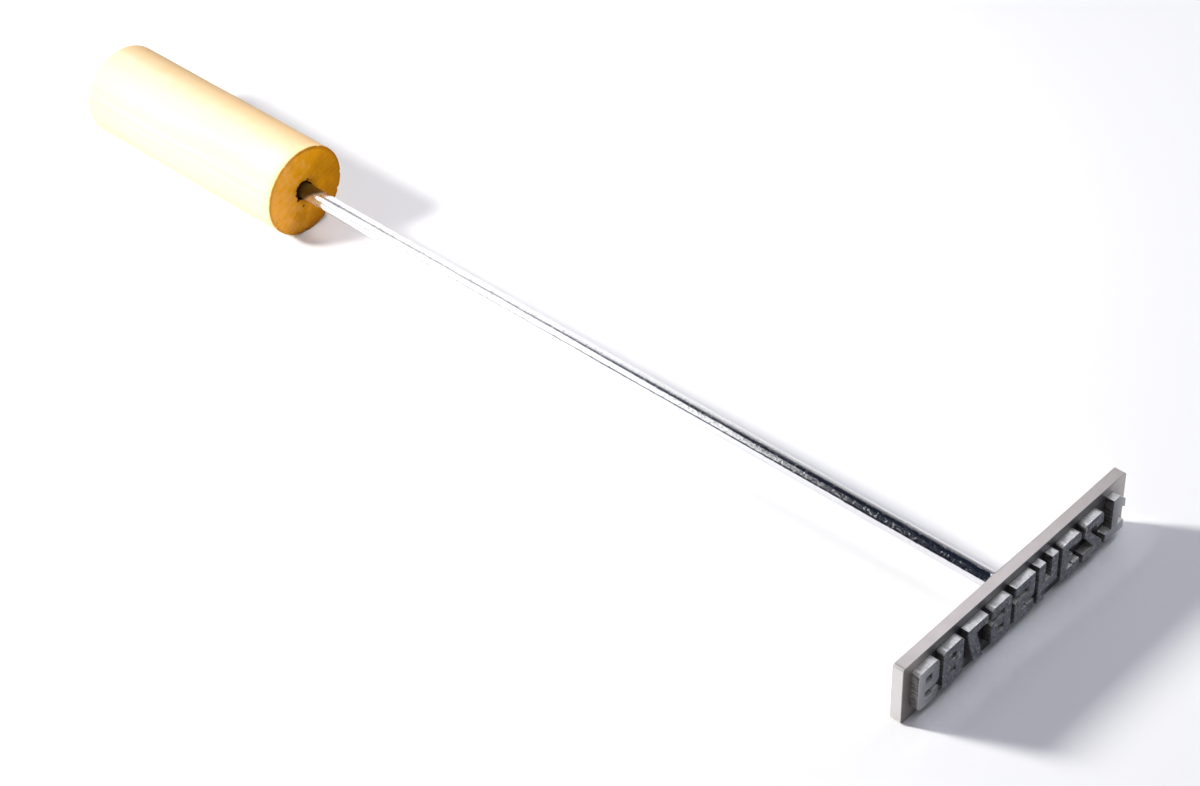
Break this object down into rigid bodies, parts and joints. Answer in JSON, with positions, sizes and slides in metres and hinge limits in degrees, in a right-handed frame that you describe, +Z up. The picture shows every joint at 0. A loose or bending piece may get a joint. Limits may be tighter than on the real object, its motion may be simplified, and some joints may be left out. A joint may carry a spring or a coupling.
{
  "type": "branding iron",
  "caption": "Hand branding iron: round wooden handle, long bright steel rod and a steel plate with a row of raised mirrored figures, to be heated and pressed on wood or leather.",
  "frame": {"origin": "on the table under the middle of the iron as it lies, halfway between the butt and the figures' faces", "axes": "+X along the iron from the handle to the figures, +Y along the plate, +Z up from the table"},
  "size_m": [0.4064, 0.11, 0.0358],
  "materials": {
    "handle_wood": "sanded bare birch, golden end grain",
    "epoxy": "cured adhesive",
    "bright_rod": "bright plated, slightly uneven",
    "nut_steel": "turned steel",
    "plate_steel": "satin ground steel",
    "figure_steel": "cut edges with fine lines, dull faces"
  },
  "bodies": {
    "root": {"handle": "handle_wood", "adhesive": "epoxy", "rod": "bright_rod", "lock_nut": "nut_steel", "brand_plate": "plate_steel", "figure_1": "figure_steel", "figure_2": "figure_steel", "figure_3": "figure_steel", "figure_4": "figure_steel", "figure_5": "figure_steel", "figure_6": "figure_steel", "figure_7": "figure_steel", "figure_8": "figure_steel", "figure_9": "figure_steel"}
  },
  "joints": []
}
